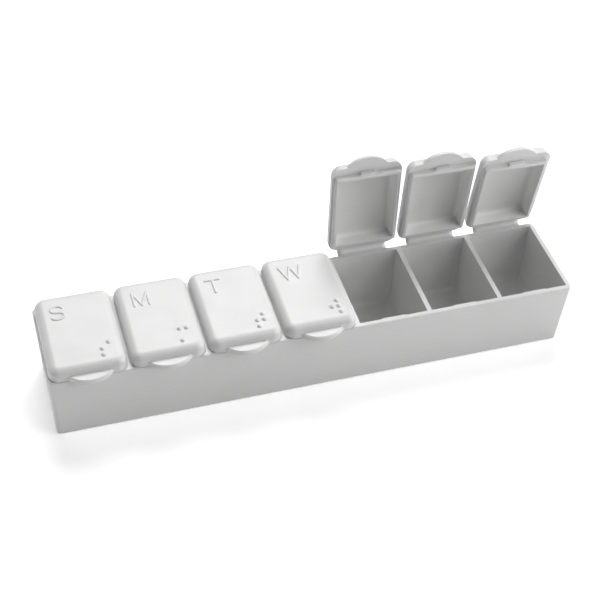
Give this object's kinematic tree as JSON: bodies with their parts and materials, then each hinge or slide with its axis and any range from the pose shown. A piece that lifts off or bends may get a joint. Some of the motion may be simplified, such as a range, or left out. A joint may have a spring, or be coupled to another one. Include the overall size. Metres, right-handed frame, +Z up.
{
  "type": "weekly pill organiser",
  "caption": "White moulded weekly pill organiser: a long tray of compartments in one row, each with a domed flip lid on a living hinge, a thumb tab and a snap catch.",
  "frame": {"origin": "centre of the flat bottom of the tray, on the surface it rests on", "axes": "+X along the row of days from Sunday to Saturday, -Y towards the front with the thumb tabs, +Z up"},
  "size_m": [0.1556, 0.039, 0.0568],
  "materials": {
    "tray": "satin moulded polypropylene, white",
    "lid": "satin moulded polypropylene, white",
    "hinge_film": "thin moulded polypropylene, white"
  },
  "bodies": {
    "tray": {"tray": "tray"},
    "sunday_lid": {"sunday_lid": "lid", "sunday_hinge_film": "hinge_film"},
    "monday_lid": {"monday_lid": "lid", "monday_hinge_film": "hinge_film"},
    "tuesday_lid": {"tuesday_lid": "lid", "tuesday_hinge_film": "hinge_film"},
    "wednesday_lid": {"wednesday_lid": "lid", "wednesday_hinge_film": "hinge_film"},
    "thursday_lid": {"thursday_lid": "lid", "thursday_hinge_film": "hinge_film"},
    "friday_lid": {"friday_lid": "lid", "friday_hinge_film": "hinge_film"},
    "saturday_lid": {"saturday_lid": "lid", "saturday_hinge_film": "hinge_film"}
  },
  "joints": [
    {"name": "sunday_hinge", "type": "hinge", "parent": "tray", "child": "sunday_lid", "pos_m": [-0.066, 0.0163, 0.02258], "axis": [-1, 0, 0], "range_deg": [0, 180], "deforming": ["sunday_hinge_film"]},
    {"name": "monday_hinge", "type": "hinge", "parent": "tray", "child": "monday_lid", "pos_m": [-0.044, 0.0163, 0.02258], "axis": [-1, 0, 0], "range_deg": [0, 180], "deforming": ["monday_hinge_film"]},
    {"name": "tuesday_hinge", "type": "hinge", "parent": "tray", "child": "tuesday_lid", "pos_m": [-0.022, 0.0163, 0.02258], "axis": [-1, 0, 0], "range_deg": [0, 180], "deforming": ["tuesday_hinge_film"]},
    {"name": "wednesday_hinge", "type": "hinge", "parent": "tray", "child": "wednesday_lid", "pos_m": [0, 0.0163, 0.02258], "axis": [-1, 0, 0], "range_deg": [0, 180], "deforming": ["wednesday_hinge_film"]},
    {"name": "thursday_hinge", "type": "hinge", "parent": "tray", "child": "thursday_lid", "pos_m": [0.022, 0.0163, 0.02258], "axis": [-1, 0, 0], "range_deg": [-92, 88], "deforming": ["thursday_hinge_film"]},
    {"name": "friday_hinge", "type": "hinge", "parent": "tray", "child": "friday_lid", "pos_m": [0.044, 0.0163, 0.02258], "axis": [-1, 0, 0], "range_deg": [-86, 94], "deforming": ["friday_hinge_film"]},
    {"name": "saturday_hinge", "type": "hinge", "parent": "tray", "child": "saturday_lid", "pos_m": [0.066, 0.0163, 0.02258], "axis": [-1, 0, 0], "range_deg": [-81, 99], "deforming": ["saturday_hinge_film"]}
  ]
}
